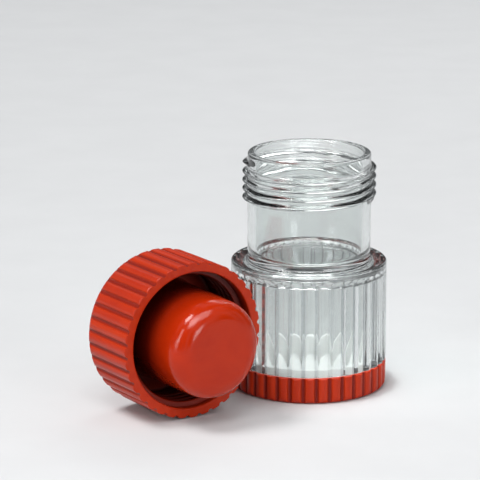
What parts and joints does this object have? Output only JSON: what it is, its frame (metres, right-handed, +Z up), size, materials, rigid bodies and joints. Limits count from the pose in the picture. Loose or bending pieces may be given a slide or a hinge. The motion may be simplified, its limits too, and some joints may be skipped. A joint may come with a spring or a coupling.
{
  "type": "pill crusher",
  "caption": "Screw-together pill crusher: clear threaded crushing chamber on a fluted storage container, ribbed red screw lid, and a ribbed red cap with a central plunger.",
  "frame": {"origin": "on the container's axis, at the underside of the base lid, which stands on the table", "axes": "+Z up along the container's axis; the viewer stands on the -Y side and the lying cap is at -X, -Y with its mouth towards the viewer"},
  "size_m": [0.0847, 0.0744, 0.069],
  "materials": {
    "red_plastic": "moulded satin to gloss, opaque red",
    "clear_plastic": "clear moulded polystyrene, polished",
    "white_seal": "soft white polyethylene"
  },
  "bodies": {
    "base": {"base_lid": "red_plastic"},
    "seal": {"lid_seal_insert": "white_seal"},
    "container": {"storage_skirt": "clear_plastic", "crushing_cup": "clear_plastic"},
    "cap": {"crusher_cap": "red_plastic", "crusher_plunger": "red_plastic"}
  },
  "joints": [
    {"name": "body_turn", "type": "hinge", "parent": "base", "child": "seal", "pos_m": [0, 0, 0], "axis": [0, 0, 1], "range_deg": [0, 4680]},
    {"name": "body_rise", "type": "slide", "parent": "seal", "child": "container", "axis": [0, 0, 1], "range_m": [0, 0.0325]},
    {"name": "cap_swing", "type": "hinge", "parent": "base", "child": "cap", "pos_m": [-0.00986, -0.04361, 0.06505], "axis": [-0.8815, -0.026, 0.4714], "range_deg": [0, 253.4]}
  ],
  "couplings": [
    {"joint": "body_rise", "follows": "body_turn", "m_per_rad": 0.00039789}
  ]
}
